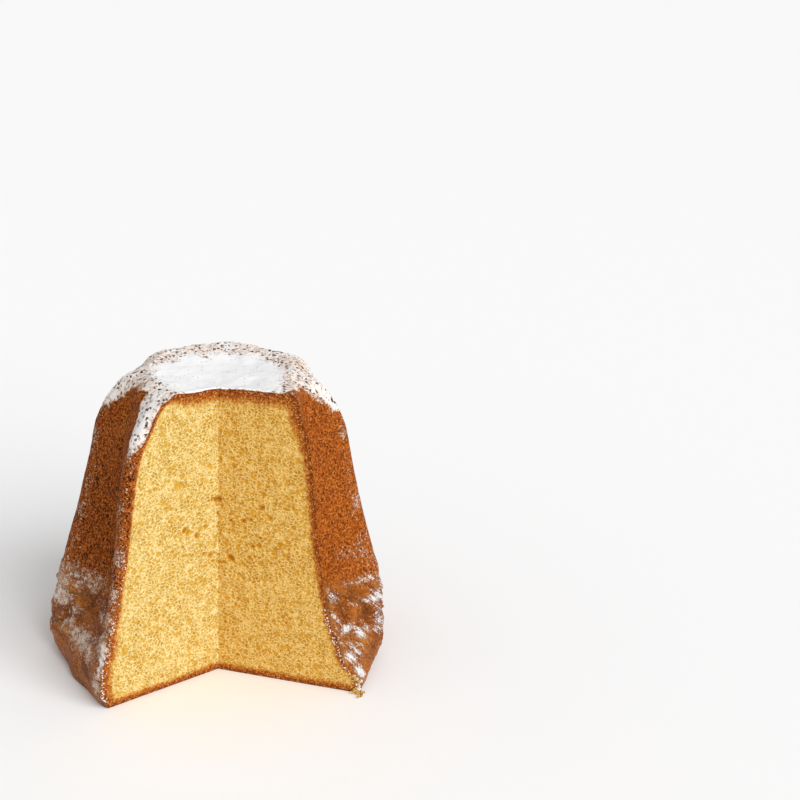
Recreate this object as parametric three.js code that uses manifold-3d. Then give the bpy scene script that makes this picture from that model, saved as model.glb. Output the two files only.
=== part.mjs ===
// A pandoro: a tall Italian Christmas cake, baked in an eight-pointed star mould and turned out
// wide end down. It is dusted with icing sugar, and a wedge has been cut from its front.
//
// Units are millimetres, with +Z up. The origin lies on the cake's axis, in the plane of its base.
// An angle is counted from the front, which is -Y, and grows towards +X.

import * as THREE from 'three';
import { mergeVertices } from 'three/addons/utils/BufferGeometryUtils.js';
import Module from 'manifold-3d';

const DEG = Math.PI / 180;

// ---------------------------------------------------------------- driving dimensions

const HEIGHT = 199; // base to the rim of the top
const TOP_DIP = 4.5; // the middle of the top is this much lower than its rim

// Outline of the body: height, radius at a point of the star, radius in a groove between points.
// Low down, the dough rose past the rim of the mould, so it bulges out and fills the grooves.
const OUTLINE = [
  { height: 0, point: 101, groove: 98 }, // edge of the base
  { height: 10, point: 106.5, groove: 101 }, // underside of the bulge
  { height: 24, point: 109.5, groove: 95.5 }, // widest
  { height: 42, point: 108.5, groove: 84 },
  { height: 62, point: 104.5, groove: 76 }, // rim of the mould
  { height: 98, point: 94.5, groove: 70 },
  { height: 136, point: 85.5, groove: 65.5 },
  { height: 164, point: 79.5, groove: 61.5 }, // start of the shoulder
  { height: 180, point: 71.5, groove: 57 },
  { height: 192, point: 61, groove: 55 },
  { height: HEIGHT, point: 46, groove: 45 }, // rim of the top
];

// The points of the star: at what angle each one stands, in degrees, and how far it comes out
// beside the outline, at the foot, at the rim of the mould and at the shoulder.
const STAR = [
  { angle: -41.5, foot: 1.045, rim: 0.965, shoulder: 1.09 }, // beside the left face of the cut
  { angle: 1, foot: 1.05, rim: 1, shoulder: 1.05 }, // cut away
  { angle: 40, foot: 1.19, rim: 1.01, shoulder: 1.06 }, // cut away
  { angle: 83, foot: 1.02, rim: 1.015, shoulder: 1.01 },
  { angle: 127, foot: 1, rim: 0.995, shoulder: 1.03 },
  { angle: 175, foot: 0.99, rim: 1.01, shoulder: 1.01 },
  { angle: 224, foot: 1.01, rim: 0.985, shoulder: 1.01 },
  { angle: 268, foot: 1.035, rim: 0.975, shoulder: 0.98 },
];
const FOOT_HEIGHT = 45; // the foot's reach has passed into the rim's here
const SHOULDER_FROM = 60; // the rim's reach starts to pass into the shoulder's
const SHOULDER_TO = 185;
const ROUNDING = 0.86; // 1 leaves points and grooves sharp, less rounds them
const TOP_LEAN = 2.5; // the top stands this far towards +X from the base

// Lumps and folds of the bulge: how deep they are, how many go round it, how far apart they lie
// in height, and where they fade out.
const LUMP_DEPTH = 1.4;
const LUMPS_AROUND = 31;
const SLANTS_AROUND = 19;
const LUMP_SPACING = 20;
const LUMP_FADE_FROM = 45;
const LUMP_FADE_TO = 85;

// The missing wedge: a vertical edge in front of the axis, and two flat faces that leave it.
const CUT_EDGE = { x: 1, y: -30 };
const CUT_LEFT = -54 * DEG;
const CUT_RIGHT = 69 * DEG;
const CUT_REACH = 200; // far enough to leave the body

// Fineness of the surface.
const STEPS_AROUND = 132;
const LEVELS = [
  { upTo: 62, levels: 18 }, // bulge
  { upTo: 164, levels: 8 }, // flanks
  { upTo: HEIGHT, levels: 9 }, // shoulder
];
const TOP_RINGS = 3;

const CRUST_BROWN = 0x8a4a20;

// ---------------------------------------------------------------- shape of the body

// A curve through the outline's radii, one for the points and one for the grooves.
function radiusCurve(key) {
  const stations = OUTLINE.map((s) => new THREE.Vector2(s.height, s[key]));
  return new THREE.SplineCurve(stations);
}

const pointCurve = radiusCurve('point');
const grooveCurve = radiusCurve('groove');

// Where an angle lies in the star: the point before it, the point after it, how wide the gap
// between these two is, and how far across that gap the angle stands, from 0 to 1.
function placeInStar(angle) {
  const first = STAR[0].angle;
  const turn = THREE.MathUtils.euclideanModulo(angle / DEG - first, 360);
  const index = STAR.findLastIndex((star) => star.angle - first <= turn);
  const before = STAR[index];
  const after = STAR[(index + 1) % STAR.length];
  const gap = THREE.MathUtils.euclideanModulo(after.angle - before.angle, 360);
  const across = (turn - (before.angle - first)) / gap;
  return { before, after, gap: gap * DEG, across };
}

// 0 on a point of the star, 1 in a groove, with both of them rounded.
function towardsGroove(across) {
  const wave = Math.acos(ROUNDING * Math.cos(2 * Math.PI * across));
  const flat = Math.acos(ROUNDING);
  return (wave - flat) / (Math.PI - 2 * flat);
}

// Soft folds and lumps of the risen dough, strongest at the bulge: three crossing waves.
function lumps(angle, height) {
  const level = (2 * Math.PI * height) / LUMP_SPACING;
  const column = Math.sin(LUMPS_AROUND * angle + 1.1 * Math.sin(level));
  const knobs = column * Math.sin(level + 1.3 * Math.sin(7 * angle));
  const folds = Math.sin(0.9 * level + 2 * Math.sin(5 * angle + 1));
  const slants = Math.sin(SLANTS_AROUND * angle - 1.2 * level);
  const fade = 1 - THREE.MathUtils.smoothstep(height, LUMP_FADE_FROM, LUMP_FADE_TO);
  const foot = THREE.MathUtils.smoothstep(height, 0, LUMP_SPACING / 2);
  return LUMP_DEPTH * fade * foot * (0.5 * knobs + 0.3 * folds + 0.3 * slants);
}

// How far one point of the star comes out at this height.
function reachOf(star, height) {
  const foot = 1 - THREE.MathUtils.smoothstep(height, 0, FOOT_HEIGHT);
  const shoulder = THREE.MathUtils.smoothstep(height, SHOULDER_FROM, SHOULDER_TO);
  return star.rim + (star.foot - star.rim) * foot + (star.shoulder - star.rim) * shoulder;
}

// Distance of the surface from the axis. A flank between a point and a groove is straight.
function radius(angle, along) {
  const point = pointCurve.getPoint(along);
  const groove = grooveCurve.getPoint(along);
  const height = point.x;
  const { before, after, gap, across } = placeInStar(angle);
  const half = gap / 2;
  const turn = half * towardsGroove(across);
  const flank =
    (point.y * groove.y * Math.sin(half)) /
    (point.y * Math.sin(turn) + groove.y * Math.sin(half - turn));
  const mix = THREE.MathUtils.smoothstep(across, 0, 1);
  const reach = THREE.MathUtils.lerp(reachOf(before, height), reachOf(after, height), mix);
  return flank * reach + lumps(angle, height);
}

// A point of the surface. Towards the middle of the top, scale falls to 0 and the top dips.
function surfacePoint(angle, along, scale = 1) {
  const height = pointCurve.getPoint(along).x;
  const r = radius(angle, along) * scale;
  const lean = TOP_LEAN * (height / HEIGHT);
  const dip = TOP_DIP * (1 - scale * scale);
  return new THREE.Vector3(lean + r * Math.sin(angle), -r * Math.cos(angle), height - dip);
}

// The whole cake as one closed skin: rings up the body, rings across the top, and both centres.
function wholeCake() {
  const rings = [{ along: 0, scale: 1 }];
  let from = 0;
  for (const stretch of LEVELS) {
    const to = OUTLINE.findIndex((s) => s.height === stretch.upTo) / (OUTLINE.length - 1);
    for (let level = 1; level <= stretch.levels; level += 1) {
      rings.push({ along: THREE.MathUtils.lerp(from, to, level / stretch.levels), scale: 1 });
    }
    from = to;
  }
  for (let ring = TOP_RINGS - 1; ring > 0; ring -= 1) {
    rings.push({ along: 1, scale: ring / TOP_RINGS });
  }
  const positions = [];
  for (const ring of rings) {
    for (let step = 0; step < STEPS_AROUND; step += 1) {
      const angle = (2 * Math.PI * step) / STEPS_AROUND;
      positions.push(...surfacePoint(angle, ring.along, ring.scale));
    }
  }
  const baseCentre = positions.length / 3;
  positions.push(0, 0, 0);
  const topCentre = baseCentre + 1;
  positions.push(...surfacePoint(0, 1, 0));

  const triangles = [];
  for (let ring = 0; ring < rings.length - 1; ring += 1) {
    for (let step = 0; step < STEPS_AROUND; step += 1) {
      const next = (step + 1) % STEPS_AROUND;
      const low = ring * STEPS_AROUND;
      const high = low + STEPS_AROUND;
      triangles.push(low + step, low + next, high + next);
      triangles.push(low + step, high + next, high + step);
    }
  }
  const last = (rings.length - 1) * STEPS_AROUND;
  for (let step = 0; step < STEPS_AROUND; step += 1) {
    const next = (step + 1) % STEPS_AROUND;
    triangles.push(baseCentre, next, step);
    triangles.push(topCentre, last + step, last + next);
  }
  const geometry = new THREE.BufferGeometry();
  geometry.setAttribute('position', new THREE.Float32BufferAttribute(positions, 3));
  geometry.setIndex(triangles);
  return geometry;
}

// The wedge that has been eaten: a prism taller than the cake.
function missingWedge() {
  const margin = 10;
  const far = (angle) => [
    CUT_EDGE.x + CUT_REACH * Math.sin(angle),
    CUT_EDGE.y - CUT_REACH * Math.cos(angle),
  ];
  const outline = new THREE.Shape();
  outline.moveTo(CUT_EDGE.x, CUT_EDGE.y);
  outline.lineTo(...far(CUT_LEFT));
  outline.lineTo(CUT_EDGE.x, CUT_EDGE.y - CUT_REACH * 2);
  outline.lineTo(...far(CUT_RIGHT));
  outline.closePath();
  const depth = HEIGHT + 2 * margin;
  const wedge = new THREE.ExtrudeGeometry(outline, { depth, bevelEnabled: false });
  return wedge.translate(0, 0, -margin);
}

// ---------------------------------------------------------------- cutting

const library = await Module();
library.setup();

function toSolid(geometry) {
  const bare = geometry.clone();
  bare.deleteAttribute('normal');
  bare.deleteAttribute('uv');
  const merged = mergeVertices(bare, 1e-4);
  const mesh = new library.Mesh({
    numProp: 3,
    vertProperties: new Float32Array(merged.attributes.position.array),
    triVerts: new Uint32Array(merged.index.array),
  });
  return new library.Manifold(mesh);
}

function toGeometry(solid) {
  const mesh = solid.getMesh();
  const geometry = new THREE.BufferGeometry();
  geometry.setAttribute('position', new THREE.BufferAttribute(mesh.vertProperties, 3));
  geometry.setIndex(new THREE.BufferAttribute(mesh.triVerts, 1));
  geometry.computeVertexNormals();
  return geometry;
}

// ---------------------------------------------------------------- the part

function makePandoro() {
  const body = toSolid(wholeCake()).subtract(toSolid(missingWedge()));
  const crust = new THREE.MeshStandardMaterial({
    color: CRUST_BROWN,
    roughness: 0.75,
    metalness: 0,
  });
  const mesh = new THREE.Mesh(toGeometry(body), crust);
  mesh.name = 'pandoro';
  return mesh;
}

const cake = new THREE.Group();
cake.add(makePandoro());

export default cake;
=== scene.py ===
# %% [markdown]
# # A cut pandoro under icing sugar
# A pandoro is a tall sweet bread. It is baked in a star-shaped mould and turned out wide end down,
# so its brown crust has deep grooves. Icing sugar lies on it like snow. A wedge has been cut out,
# which shows the yellow crumb.
#
# The plain model gives the size and the place of the cake, and this lesson makes its looks: a
# crust, a crumb, a coat of icing sugar, loose crumbs and loose grains of sugar. Each of the five
# is a closed mesh of its own, and together they take the place of the plain cake.

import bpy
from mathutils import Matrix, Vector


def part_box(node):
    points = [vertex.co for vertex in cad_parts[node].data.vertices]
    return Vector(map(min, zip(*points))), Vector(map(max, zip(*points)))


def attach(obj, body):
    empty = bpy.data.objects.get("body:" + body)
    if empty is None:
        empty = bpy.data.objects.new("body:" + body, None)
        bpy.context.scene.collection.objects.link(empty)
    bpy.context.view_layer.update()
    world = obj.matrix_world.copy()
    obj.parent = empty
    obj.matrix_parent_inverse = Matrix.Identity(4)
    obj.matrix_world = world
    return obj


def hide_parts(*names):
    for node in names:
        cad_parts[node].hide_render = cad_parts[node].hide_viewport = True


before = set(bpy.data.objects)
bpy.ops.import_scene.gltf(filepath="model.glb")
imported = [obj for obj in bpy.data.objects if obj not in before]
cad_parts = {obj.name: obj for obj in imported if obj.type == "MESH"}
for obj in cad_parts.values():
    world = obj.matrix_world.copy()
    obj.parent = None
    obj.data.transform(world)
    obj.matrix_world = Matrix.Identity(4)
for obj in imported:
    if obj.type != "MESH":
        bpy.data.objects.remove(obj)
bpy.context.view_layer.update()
cake_low, cake_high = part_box("pandoro")
print("plain cake, in metres:", [round(side, 4) for side in cake_high - cake_low])

# %% [markdown]
# ## Tools for the lesson
# `bmesh` is Blender's mesh editor for scripts, and every piece here starts in it. `numpy` works
# out thousands of places at once, so a skin of a hundred thousand corners takes a few seconds. The
# Standard view shows a colour on the screen as it was mixed, which makes it easy to match bread.

# %% Tools for the lesson
import math

import bmesh
import bpy
import numpy as np
from mathutils import Matrix, Vector, noise

NOISE_SEED = 5
noise.seed_set(NOISE_SEED)  # without it, vector noise would differ from one run to the next
bpy.context.scene.view_settings.view_transform = "Standard"

# %% [markdown]
# ## The shape of the mould
# A real baker gets this shape from a tin. We need it as a formula, because the crust, the crumb
# and the sugar all follow it. The outline is a table with a height, the radius at a point of the
# star and the radius in a groove. A smooth curve runs through the table. All sizes are in
# millimetres of the plain model, and `MM` turns them into metres.

# %% The outline
CAKE_MM = 199  # the plain model is this tall
MM = cake_high.z / CAKE_MM
HEIGHT = cake_high.z
TOP_DIP = 4.5 * MM
TOP_LEAN = 2.5 * MM
OUTLINE = MM * np.array([
    (0, 101, 98),  # edge of the base
    (10, 106.5, 101),  # underside of the bulge
    (24, 109.5, 95.5),  # widest
    (42, 108.5, 84),
    (62, 104.5, 76),  # rim of the mould
    (98, 94.5, 70),
    (136, 85.5, 65.5),
    (164, 79.5, 61.5),  # start of the shoulder
    (180, 71.5, 57),
    (192, 61, 55),
    (CAKE_MM, 46, 45),  # rim of the top
])
print("outline:", len(OUTLINE), "heights, one millimetre is", round(MM, 6), "m")


def smoothstep(value, low, high):
    """0 below low, 1 above high, and a soft step between them."""
    share = np.clip((value - low) / (high - low), 0, 1)
    return share * share * (3 - 2 * share)


def curve_through(values, along):
    """A smooth curve through the values, read at along, from 0 at the first to 1 at the last."""
    last = len(values) - 1
    place = np.clip(along, 0, 1) * last
    station = np.floor(place).astype(int)
    share = place - station
    before, here, after, later = (values[np.clip(station + step, 0, last)] for step in (-1, 0, 1, 2))
    leave = (after - before) / 2
    arrive = (later - here) / 2
    bend = 2 * here - 2 * after + leave + arrive
    lift = 3 * after - 3 * here - 2 * leave - arrive
    return ((bend * share + lift) * share + leave) * share + here


# %% [markdown]
# ## The star
# Eight points stand round the cake. No two are alike, because the dough rises unevenly and the
# warm cake sags a little: each point has its own angle and its own reach at the foot, at the rim
# of the mould and at the shoulder. Between a point and a groove the side is flat, and both are
# rounded. An angle is counted from the front, which is -Y, towards +X.

# %% The star's points
STAR = np.array([
    (-41.5, 1.045, 0.965, 1.09),  # beside the left face of the cut
    (1, 1.05, 1, 1.05),  # cut away
    (40, 1.19, 1.01, 1.06),  # cut away
    (83, 1.02, 1.015, 1.01),
    (127, 1, 0.995, 1.03),
    (175, 0.99, 1.01, 1.01),
    (224, 1.01, 0.985, 1.01),
    (268, 1.035, 0.975, 0.98),
])
ROUNDING = 0.86
FOOT_HEIGHT = 45 * MM
SHOULDER_FROM, SHOULDER_TO = 60 * MM, 185 * MM
print("star:", len(STAR), "points")


def place_in_star(angle):
    """The point before an angle, the point after it, the gap between them, and how far across."""
    starts = STAR[:, 0] - STAR[0, 0]
    turn = (np.degrees(angle) - STAR[0, 0]) % 360
    before = np.searchsorted(starts, turn, side="right") - 1
    after = (before + 1) % len(STAR)
    gap = (STAR[after, 0] - STAR[before, 0]) % 360
    return before, after, np.radians(gap), (turn - starts[before]) / gap


def towards_groove(across):
    """0 on a point of the star and 1 in a groove, with both of them rounded."""
    flat = math.acos(ROUNDING)
    return (np.arccos(ROUNDING * np.cos(2 * np.pi * across)) - flat) / (np.pi - 2 * flat)


# %% [markdown]
# ## Lumps and local forms
# Low down, the plain model has soft lumps, made of three waves that cross each other. The same
# waves are used here, so that the skin lies where the plain cake does. A few places of the real
# cake differ from any regular star: a blunt ridge, a corner that stands out, a crease. Each one is
# a soft hump or hollow, and a table says where it is, how wide it is and how far it comes out.

# %% Lumps and local forms
LUMP_DEPTH, LUMP_SPACING = 1.4 * MM, 20 * MM
LUMPS_AROUND, SLANTS_AROUND = 31, 19
LUMP_FADE_FROM, LUMP_FADE_TO = 45 * MM, 85 * MM
LOCAL_FORMS = [  # angle and its half width in degrees, height and its half width, amount, all in mm
    (-27, 11, 205, 22, 9.2),  # fuller shoulder beside the left face of the cut
    (44, 14, 203, 11, 17),  # squarer corner beside the right face
    (52, 9, 25, 7, -5),  # two creases low down beside the right face
    (54, 8, 15, 7.5, -6.5),
    (76, 10, 27, 6, -1.8),  # the bulge hangs lower at the right
    (76, 10, 9, 6, 3),
    (-65, 22, 8, 11, -3.2),  # and is tucked in at the left
    (-46, 7, 180, 24, -5),  # a blunter ridge on the left shoulder
]


def lumps(angle, height):
    """Soft lumps of the bulge, which the plain model has too."""
    level = 2 * np.pi * height / LUMP_SPACING
    column = np.sin(LUMPS_AROUND * angle + 1.1 * np.sin(level))
    knobs = column * np.sin(level + 1.3 * np.sin(7 * angle))
    folds = np.sin(0.9 * level + 2 * np.sin(5 * angle + 1))
    slants = np.sin(SLANTS_AROUND * angle - 1.2 * level)
    fade = 1 - smoothstep(height, LUMP_FADE_FROM, LUMP_FADE_TO)
    foot = smoothstep(height, 0, LUMP_SPACING / 2)
    return LUMP_DEPTH * fade * foot * (0.5 * knobs + 0.3 * folds + 0.3 * slants)


def local_forms(angle, height):
    """What the cake has in a few places beside its plain star shape."""
    amount = 0
    for at_angle, width, at_height, depth, most in LOCAL_FORMS:
        far = ((np.degrees(angle) - at_angle) / width) ** 2 + ((height / MM - at_height) / depth) ** 2
        amount = amount + most * MM * np.exp(-far)
    return amount


# %% Distance of the crust from the axis
def star_radius(angle, along):
    """Distance of the crust from the cake's axis."""
    height, point, groove = (curve_through(OUTLINE[:, column], along) for column in range(3))
    before, after, gap, across = place_in_star(angle)
    half = gap / 2
    turn = half * towards_groove(across)
    flank = point * groove * np.sin(half) / (point * np.sin(turn) + groove * np.sin(half - turn))
    foot = 1 - smoothstep(height, 0, FOOT_HEIGHT)
    shoulder = smoothstep(height, SHOULDER_FROM, SHOULDER_TO)
    at_foot, at_rim, at_shoulder = STAR[:, 1], STAR[:, 2], STAR[:, 3]
    reach = at_rim + (at_foot - at_rim) * foot + (at_shoulder - at_rim) * shoulder
    mix = smoothstep(across, 0, 1)
    plain = flank * (reach[before] * (1 - mix) + reach[after] * mix)
    return plain + lumps(angle, height) + local_forms(angle, height)


middle_radii = star_radius(np.linspace(-np.pi, np.pi, 360), 0.5)
print("radius at half the outline:", round(middle_radii.min(), 4), "to", round(middle_radii.max(), 4), "m")


# %% [markdown]
# ## Rays from the cut edge
# The two faces of the cut are flat and meet in one upright edge, near the middle of the cake. If
# we look at the cake from that edge, every direction is a ray that meets the crust once. So the
# grid of each skin runs along such rays: its first column lies in the left face of the cut, its
# last column in the right face, and no mesh has to be trimmed. A boolean could cut the wedge out
# too, but it would leave long thin faces along the cut, which take fine detail badly.

# %% Rays
CUT_EDGE = np.array((1, -30)) * MM
CUT_LEFT, CUT_RIGHT = math.radians(-54), math.radians(69)
SWEEP = 2 * np.pi - (CUT_RIGHT - CUT_LEFT)
FAR = 10 * HEIGHT  # farther than any place of the cake
print("the cake fills", round(math.degrees(SWEEP)), "degrees round the cut edge")


def ray_directions(turns):
    """Level unit vectors. Turn 0 is the left face of the cut, and turns run round the back."""
    bearing = CUT_LEFT - turns
    return np.stack((np.sin(bearing), -np.cos(bearing)), axis=-1)


def distance_from_cut(places):
    """Distance of each place behind the nearer face of the cut."""
    off = places[:, :2] - CUT_EDGE
    behind_left = -off @ np.array((math.cos(CUT_LEFT), math.sin(CUT_LEFT)))
    behind_right = off @ np.array((math.cos(CUT_RIGHT), math.sin(CUT_RIGHT)))
    beside_left = off @ ray_directions(np.array(0.0)) > 0
    beside_right = off @ ray_directions(np.array(SWEEP)) > 0
    return np.minimum(np.where(beside_left, behind_left, FAR), np.where(beside_right, behind_right, FAR))


# %% Rings of the body
RING_SAMPLES = 2400


def ring(along, turns, inset=0.0):
    """Places where the rays meet the body at one height, inset metres under its surface.
    The inset is one number or one for each ray."""
    angle = np.linspace(-np.pi, np.pi, RING_SAMPLES, endpoint=False)
    radius = star_radius(angle, along)
    height = curve_through(OUTLINE[:, 0], along)
    x = TOP_LEAN * height / HEIGHT + radius * np.sin(angle) - CUT_EDGE[0]
    y = -radius * np.cos(angle) - CUT_EDGE[1]
    turn = (CUT_LEFT - np.arctan2(x, -y)) % (2 * np.pi)
    distance = np.interp(turns, turn, np.hypot(x, y), period=2 * np.pi)
    level = CUT_EDGE + ray_directions(turns) * (distance - inset)[:, None]
    least = np.min(inset)
    rise = least + height * (HEIGHT - 2 * least) / HEIGHT
    return np.column_stack((level, np.full(len(turns), rise)))


def dip_at(places):
    """How much lower the top is here than at its rim."""
    x, y = places[..., 0] - TOP_LEAN, places[..., 1]
    rim = star_radius(np.arctan2(x, -y), 1)
    return TOP_DIP * (1 - np.clip(np.hypot(x, y) / rim, 0, 1) ** 2)


def towards_edge(rim, share):
    """A ring drawn in towards the cut edge: share 1 leaves it as it is, share 0 is the edge."""
    drawn = rim.copy()
    drawn[:, :2] = CUT_EDGE + (rim[:, :2] - CUT_EDGE) * share
    return drawn


def skin_points(turns, base_rows, alongs, top_rows, inset=0.0):
    """Rows of places: out over the base, up the body, and in over the top to the cut edge."""
    base = ring(0, turns, inset)
    rows = [towards_edge(base, share) for share in np.linspace(0, 1, base_rows, endpoint=False)]
    rows += [ring(along, turns, inset) for along in alongs]
    for share in np.linspace(1, 0, top_rows + 1)[1:]:
        row = towards_edge(rows[base_rows + len(alongs) - 1], share)
        row[:, 2] -= dip_at(row)
        rows.append(row)
    return np.array(rows)


# %% [markdown]
# ## An even grid
# A mesh takes fine detail best when its faces are small squares of one size. These two helpers
# walk along a curve and give the stops that lie an even distance apart. The bulge at the foot has
# wrinkles, so its rows lie closer together than those of the smooth flanks.

# %% Even steps
FINE_STEPS = 3000  # a curve is measured in this many steps
WRINKLES_END = 72 * MM


def even_stops(places, spacing):
    """Numbers from 0 to 1 along a line of places, so that the steps between them have one size."""
    steps = np.linalg.norm(np.diff(places, axis=0), axis=1) / spacing
    walked = np.concatenate(([0], np.cumsum(steps)))
    count = math.ceil(walked[-1])
    return np.interp(np.linspace(0, walked[-1], count + 1), walked, np.linspace(0, 1, len(walked)))


def even_turns(spacing, at=0.5):
    """Directions of rays that meet the body an even distance apart, at a middle height."""
    return SWEEP * even_stops(ring(at, SWEEP * np.linspace(0, 1, FINE_STEPS)), spacing)


def even_alongs(low_spacing, high_spacing, start=0.0):
    """Heights on the outline, closer together on the bulge than above it."""
    alongs = np.linspace(start, 1, FINE_STEPS)
    profile = np.column_stack([curve_through(OUTLINE[:, column], alongs) for column in (0, 1)])
    spacing = np.where(profile[1:, 0] < WRINKLES_END, low_spacing, high_spacing)
    return start + (1 - start) * even_stops(profile, spacing)


# %% [markdown]
# ## Noise for dough
# Nothing baked is regular. Blender's `mathutils.noise` gives the same soft random numbers in
# every run. `soft` is rolling and round. `billows` is its absolute value: it has round lumps with
# sharp creases between them, like a skin of dough that wrinkled as it sank. A seed moves the
# places to another part of the noise, so that two patterns don't fall together.

# %% Noise helpers
SOFT_SEED, WARP_SEED, PORE_SEED = 17.3, 11.7, 23.1  # how far one more seed moves the places


def soft(places, size, seed=0):
    """Rolling noise from about -1 to 1, whose waves are about size long."""
    return np.array([noise.noise(place) for place in (places / size + SOFT_SEED * seed).tolist()])


def billows(places, size, seed=0):
    """Round lumps with sharp creases between them, from 0 in a crease to about 1."""
    return np.abs(soft(places, size, seed)) * 2


def warped(places, size, amount, seed=0):
    """The places pushed about by noise, so that what is drawn on them gets uneven."""
    pushes = [noise.noise_vector(place) for place in (places / size + WARP_SEED * seed).tolist()]
    return places + amount * np.array(pushes)


# %% [markdown]
# ## What the surface does
# Low down, the dough rose past the rim of the mould and sank back over it. It has folds and
# wrinkles there, which run level at the left of the cake and sink towards the right. Above the rim
# the tin pressed it smooth, apart from a slight unevenness. One function gives this relief for any
# place, so the sugar can follow the crust exactly. Sculpting by hand would work too, but a formula
# keeps the crust, the sugar and the colours in step.

# %% Along and across the folds
MOULD_RIM = 62 * MM
AROUND = 100 * MM  # one radian round the cake is about this long
LEVEL_UNTIL = -80 * MM  # left of this the folds run level, and to the right of it they sink
SINKING = 175 * MM  # this far to the right they have sunk as steep as a roof of 45 degrees
PUSH_SIZE, PUSH = 13 * MM, 5 * MM  # the folds are pushed about by noise of this size


def star_angle(places):
    """Angle of each place round the cake's axis."""
    lean = TOP_LEAN * places[:, 2] / HEIGHT
    return np.arctan2(places[:, 0] - lean, -places[:, 1])


def along_and_across(places):
    """Places on the rolled-out side of the cake: how far along the folds, and how far across."""
    along = AROUND * (-star_angle(places) % (2 * np.pi))
    sunk = np.maximum(places[:, 0] - LEVEL_UNTIL, 0) ** 2 / (2 * SINKING)
    return along, places[:, 2] + sunk


def slanted(places, length, width):
    """The same in steps of a length along the folds and a width across them."""
    along, across = along_and_across(places)
    return np.column_stack((along / length, across / width, 0 * along))


# %% Folds and lumps of the risen dough
def above_rim(places):
    """Height above the line where the mould ended, which wanders a little."""
    return places[:, 2] - MOULD_RIM - 6 * MM * soft(places, 26 * MM, 5) - 2 * MM * soft(places, 9 * MM, 9)


def risen(places):
    """1 on the part that rose past the mould, 0 where the mould shaped the cake."""
    return 1 - smoothstep(above_rim(places), -8 * MM, 7 * MM)


def folds(places):
    """Broad folds of the risen dough, from 0 in a crease to about 1."""
    return billows(slanted(warped(places, PUSH_SIZE, PUSH, 2), 25 * MM, 15 * MM), 1, 3)


def small_lumps(places):
    """Small lumps on the folds, from 0 in a crease to about 1."""
    return billows(warped(places, PUSH_SIZE, PUSH, 2), 4.6 * MM, 9)


def creases(places):
    """1 in the creases of the risen dough, where less sugar lies and the crust colour gets painted shade."""
    wide = 1 - smoothstep(folds(places), 0.0, 0.17)
    small = 1 - smoothstep(small_lumps(places), 0.02, 0.24)
    return risen(places) * np.maximum(wide, 0.8 * small * smoothstep(places[:, 2], 8 * MM, 24 * MM))


# %% Relief of the crust
FOLD_DEPTH, RIPPLE_DEPTH, LUMP_RISE, GRAIN_DEPTH = 3.0, 0.9, 1.1, 0.35  # in millimetres


def risen_relief(places):
    """How far the risen dough stands out, in millimetres."""
    height = places[:, 2]
    upper = smoothstep(height, 10 * MM, 36 * MM)  # the underside of the bulge is smoother
    upper *= 1 - 0.5 * smoothstep(height, 44 * MM, 60 * MM)  # and so is its upper end
    ripples = billows(slanted(warped(places, PUSH_SIZE, PUSH, 2), 9 * MM, 5 * MM), 1, 4)
    strength = 0.6 + 0.6 * smoothstep(places[:, 0], -40 * MM, 50 * MM)  # it sagged more at the right
    strength *= 0.3 + 0.7 * smoothstep(distance_from_cut(places), 0, 7 * MM)
    relief = strength * upper * (FOLD_DEPTH * folds(places) ** 0.7 - 1.8)
    relief += strength * (0.3 + 0.7 * upper) * (RIPPLE_DEPTH * ripples - 0.4)
    relief += (0.3 + 0.7 * upper) * (LUMP_RISE * small_lumps(places) - 0.4)
    return relief + GRAIN_DEPTH * soft(places, 2.8 * MM, 8)


def moulded_relief(places):
    """The slight unevenness where the tin pressed the dough, in millimetres."""
    top = smoothstep(places[:, 2], 185 * MM, 195 * MM)  # the top was free, so it is less even
    seam = -(0.25 + 0.5 * soft(places, 17 * MM, 10)) * np.exp(-(above_rim(places) / (2 * MM)) ** 2)
    relief = (0.45 + 0.45 * top) * soft(places, 24 * MM, 6) + 0.55 * top * soft(places, 9 * MM, 17)
    return relief + (0.16 * soft(places, 4 * MM, 7) + seam)


def crust_relief(places):
    """How far the crust stands out of the plain shape, in metres."""
    foot = smoothstep(places[:, 2], 1 * MM, 9 * MM)  # the base stays flat
    bulge = risen(places)
    return MM * foot * (bulge * risen_relief(places) + (1 - bulge) * moulded_relief(places))


# %% [markdown]
# ## Where the sugar falls
# Icing sugar is sieved over the cake from above. It covers the top and the shoulders, runs down
# the points of the star a little, and lies on whatever looks upwards lower down. The side walls
# of the grooves stay brown. No sieve is even: beside each face of the cut some crust stayed bare,
# and on the bulge the sugar lies in drifts, which a table places. The result is a cover
# from 0 to 1 for every place. The crust uses it for its dusting and the sugar coat for its edge.

# %% Drifts of sugar
DRIFTS = [  # angle in degrees, height in mm, half width in degrees, half height in mm, amount
    (-88, 44, 4, 5, 0.66),
    (-80, 57, 12, 11, 0.66),
    (-80, 38, 4, 4, 0.75),
    (-61, 44, 5, 3, 0.75),
    (-68, 26, 15, 7, 0.74),
    (-56, 27, 7, 8, 0.72),
    (-42.5, 33, 1.1, 13, 1.15),
    (-44.5, 15, 2.3, 5, 1.2),
    (75, 80, 5, 6, 0.50),
    (85, 64, 3, 3, 0.90),
    (76, 60, 6, 3, 0.90),
    (66, 52, 3, 8, 0.70),
    (78, 45, 6, 3, 0.85),
    (64, 43, 3, 6, 0.70),
    (66, 33, 8, 3, 0.90),
    (72, 27, 5, 4, 0.80),
    (60, 21, 6, 5, 1.00),
    (57, 10, 4, 5, 1.15),
]


def drifts(places):
    """More sugar in some places, as the sieve left it."""
    angle, height = np.degrees(star_angle(places)), places[:, 2] / MM
    most = 0 * height
    for at_angle, at_height, width, depth, amount in DRIFTS:
        far = ((angle - at_angle) / width) ** 2 + ((height - at_height) / depth) ** 2
        most = np.maximum(most, amount * np.exp(-far))
    return most


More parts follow.
